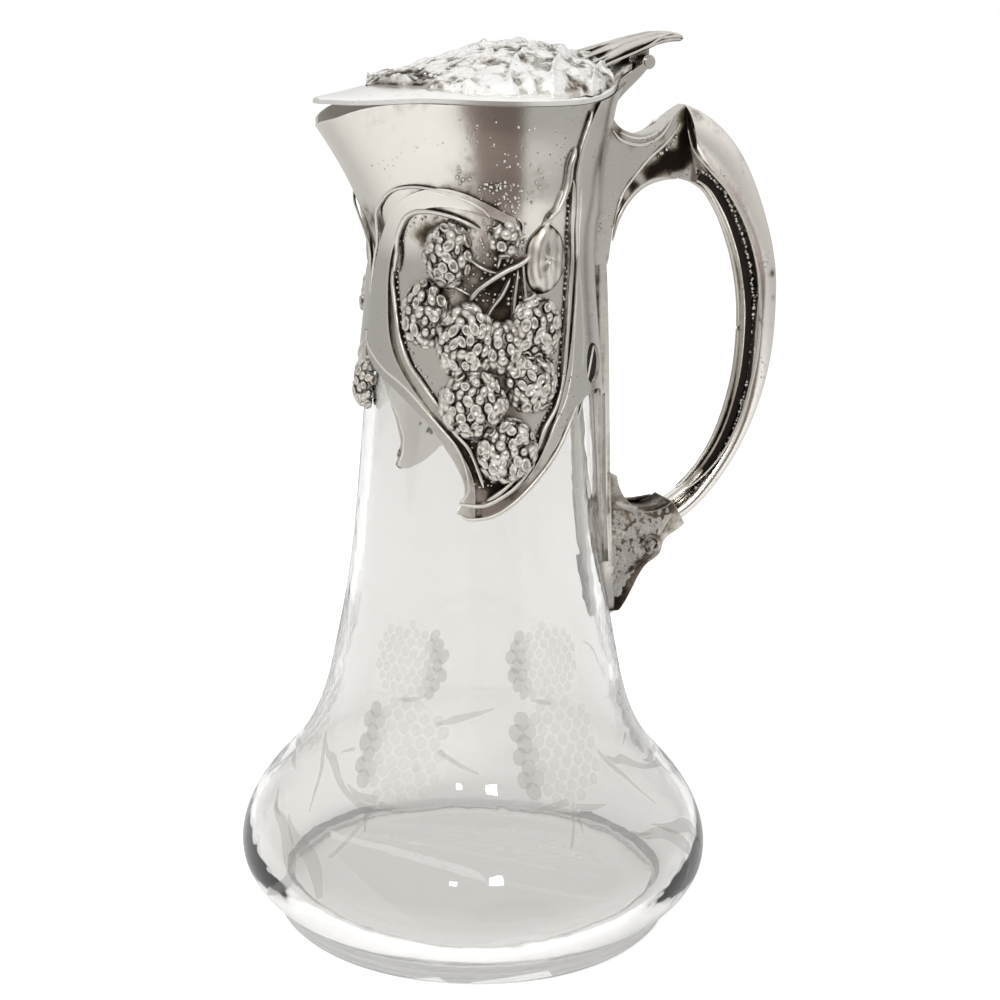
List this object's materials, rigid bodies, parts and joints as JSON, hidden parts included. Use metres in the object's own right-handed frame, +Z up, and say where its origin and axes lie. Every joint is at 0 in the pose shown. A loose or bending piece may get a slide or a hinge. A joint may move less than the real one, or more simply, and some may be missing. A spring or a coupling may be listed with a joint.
{
  "type": "claret jug",
  "caption": "Claret jug: a blown glass body in a cast silvered mount with a spout, a strap handle and a hinged lid that opens by a thumb-piece.",
  "frame": {"origin": "centre of the glass foot's underside, on the plane that the jug stands on", "axes": "+Z up, +X towards the handle, so the spout points to -X; the jug mirrors across the XZ plane"},
  "size_m": [0.18, 0.1536, 0.2831],
  "materials": {
    "glass": "clear blown glass, with matt cut ornament",
    "plaster": "matt setting plaster",
    "silver": "worn silver plate over cast pewter, dark in the hollows"
  },
  "bodies": {
    "jug": {"glass_body": "glass", "plaster_bed": "plaster", "collar_left": "silver", "collar_right": "silver", "bramble_sprig_left": "silver", "bramble_sprig_right": "silver", "front_berry": "silver", "back_strap": "silver", "handle_arm": "silver", "handle_sheath": "silver", "handle_rib": "silver", "handle_foot": "silver", "hinge_bracket": "silver", "hinge_pin": "silver"},
    "lid": {"lid": "silver", "lid_foliage": "silver", "thumb_piece": "silver", "lid_knuckle": "silver"}
  },
  "joints": [
    {"name": "lid_hinge", "type": "hinge", "parent": "jug", "child": "lid", "pos_m": [0.0512, 0, 0.2737], "axis": [0, 1, 0], "range_deg": [0, 100]}
  ]
}
